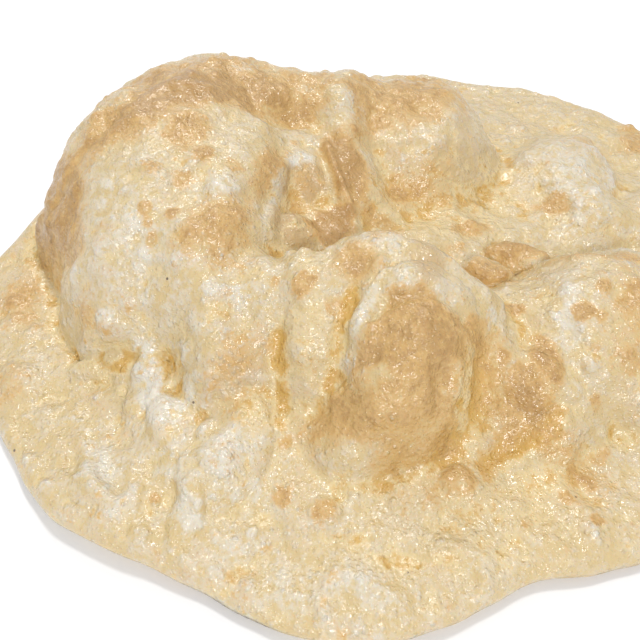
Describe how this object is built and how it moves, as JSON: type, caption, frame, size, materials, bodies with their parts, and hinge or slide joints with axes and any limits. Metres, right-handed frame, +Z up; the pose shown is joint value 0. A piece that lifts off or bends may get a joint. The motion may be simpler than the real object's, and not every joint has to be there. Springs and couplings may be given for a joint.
{
  "type": "puri",
  "caption": "Large round puffed fried flatbread with blown-up domes, folds, blisters and a thin wavy brim; lies flat and is eaten by hand.",
  "frame": {"origin": "on the table under the centre of the bread's box", "axes": "+Z up from the table, -Y towards the eater, with the big dome on the -X side"},
  "size_m": [0.2427, 0.2272, 0.0488],
  "materials": {
    "fried_dough": "pale golden fried dough with browned blisters and a thin sheen of oil"
  },
  "bodies": {
    "root": {"puri": "fried_dough"}
  },
  "joints": []
}
